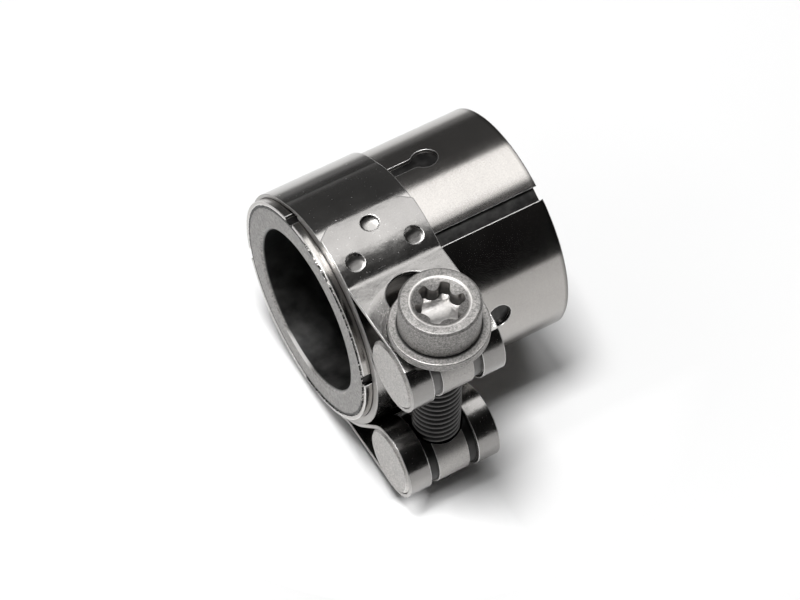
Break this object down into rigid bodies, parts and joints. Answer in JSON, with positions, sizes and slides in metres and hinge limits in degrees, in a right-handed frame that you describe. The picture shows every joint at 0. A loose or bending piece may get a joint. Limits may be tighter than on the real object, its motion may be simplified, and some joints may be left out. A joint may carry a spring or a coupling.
{
  "type": "exhaust sleeve clamp",
  "caption": "Exhaust pipe sleeve clamp: a slotted steel sleeve with a seal inside, drawn tight by a folded band, round trunnions and a socket screw.",
  "frame": {"origin": "on the tube's axis, at the middle of the sleeve's length", "axes": "+X along the tube towards the sleeve's longer free end, +Z along the screw towards its head, -Y from the tube towards the screw"},
  "size_m": [0.038, 0.0529, 0.0479],
  "materials": {
    "stainless_sheet": "satin, rolled",
    "polished_band": "bright rolled strip with fine scratches",
    "jacket_foil": "thin dull foil",
    "pressed_seal": "matt, speckled",
    "trunnion_steel": "matt, turned",
    "zinc_flake": "matt zinc-flake coating"
  },
  "bodies": {
    "clamp": {"slotted_sleeve": "stainless_sheet", "seal_sleeve": "pressed_seal", "seal_jacket": "jacket_foil", "clamp_band": "polished_band", "gap_bridge": "stainless_sheet", "head_trunnion": "trunnion_steel", "bolt_washer": "zinc_flake"},
    "bolt": {"clamp_bolt": "zinc_flake"},
    "nut": {"nut_trunnion": "trunnion_steel"}
  },
  "joints": [
    {"name": "bolt_turn", "type": "hinge", "parent": "clamp", "child": "bolt", "pos_m": [-0.0092, -0.02495, 0], "axis": [0, 0, 1], "range_deg": [-432, 1152]},
    {"name": "nut_travel", "type": "slide", "parent": "clamp", "child": "nut", "axis": [0, 0, -1], "range_m": [-0.0015, 0.004], "deforming": ["clamp_band"]}
  ],
  "couplings": [
    {"joint": "nut_travel", "follows": "bolt_turn", "m_per_rad": 0.00019894}
  ]
}
